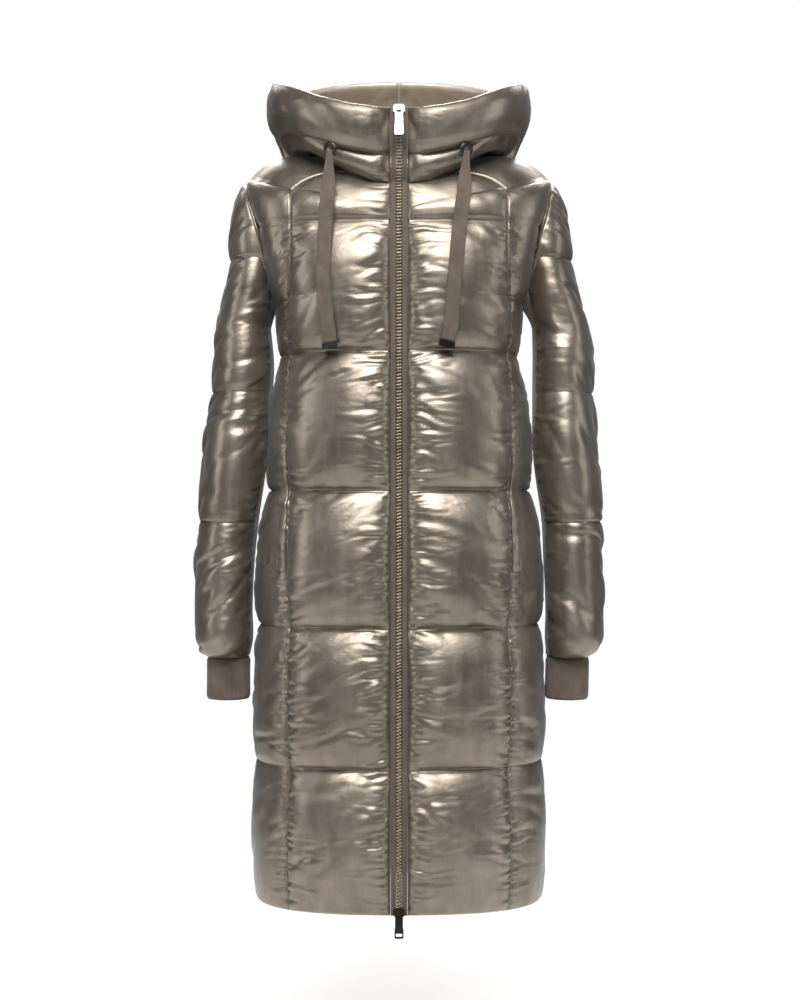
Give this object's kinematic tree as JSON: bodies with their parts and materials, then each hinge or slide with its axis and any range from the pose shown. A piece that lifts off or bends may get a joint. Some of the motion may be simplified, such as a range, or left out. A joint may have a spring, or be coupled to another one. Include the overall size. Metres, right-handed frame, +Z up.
{
  "type": "long hooded puffer coat",
  "caption": "Long hooded puffer coat, zipped up and filled out, with quilted baffles, rib cuffs, a two-way zip and flat hood tapes.",
  "frame": {"origin": "between the shoulders, level with the sides of the neck, where the wearer holds the coat up", "axes": "+Z up, the front faces -Y, the wearer's left is +X"},
  "size_m": [0.5672, 0.4015, 1.1962],
  "materials": {
    "shell": "satin taupe nylon, downproof",
    "rib": "ribbed knit",
    "tape": "woven tape",
    "teeth": "dulled metal teeth",
    "dark": "dark gunmetal",
    "silver": "bright plating",
    "black": "black enamel"
  },
  "bodies": {
    "coat": {"front_left": "shell", "front_right": "shell", "side_front_left": "shell", "side_front_right": "shell", "side_back_left": "shell", "side_back_right": "shell", "back": "shell", "sleeve_top_left": "shell", "sleeve_under_left": "shell", "sleeve_top_right": "shell", "sleeve_under_right": "shell", "cuff_left": "rib", "cuff_right": "rib", "hood_left": "shell", "hood_right": "shell", "zip_tape_left": "tape", "zip_tape_right": "tape", "zip_teeth": "teeth", "eyelet_left": "dark", "hood_tape_left": "tape", "tape_tip_left": "black", "eyelet_right": "dark", "hood_tape_right": "tape", "tape_tip_right": "silver", "pocket_welt_left": "shell", "pocket_welt_right": "shell", "pocket_puller": "black", "top_slider": "silver", "bottom_slider": "black"},
    "top_pull": {"top_pull": "silver"},
    "bottom_pull": {"bottom_pull": "black"}
  },
  "joints": [
    {"name": "top_pull_swing", "type": "hinge", "parent": "coat", "child": "top_pull", "pos_m": [0, -0.1537, 0.02583], "axis": [-1, 0, 0], "range_deg": [0, 110]},
    {"name": "bottom_pull_swing", "type": "hinge", "parent": "coat", "child": "bottom_pull", "pos_m": [0, -0.155, -1.03682], "axis": [-1, 0, 0], "range_deg": [0, 110]}
  ]
}
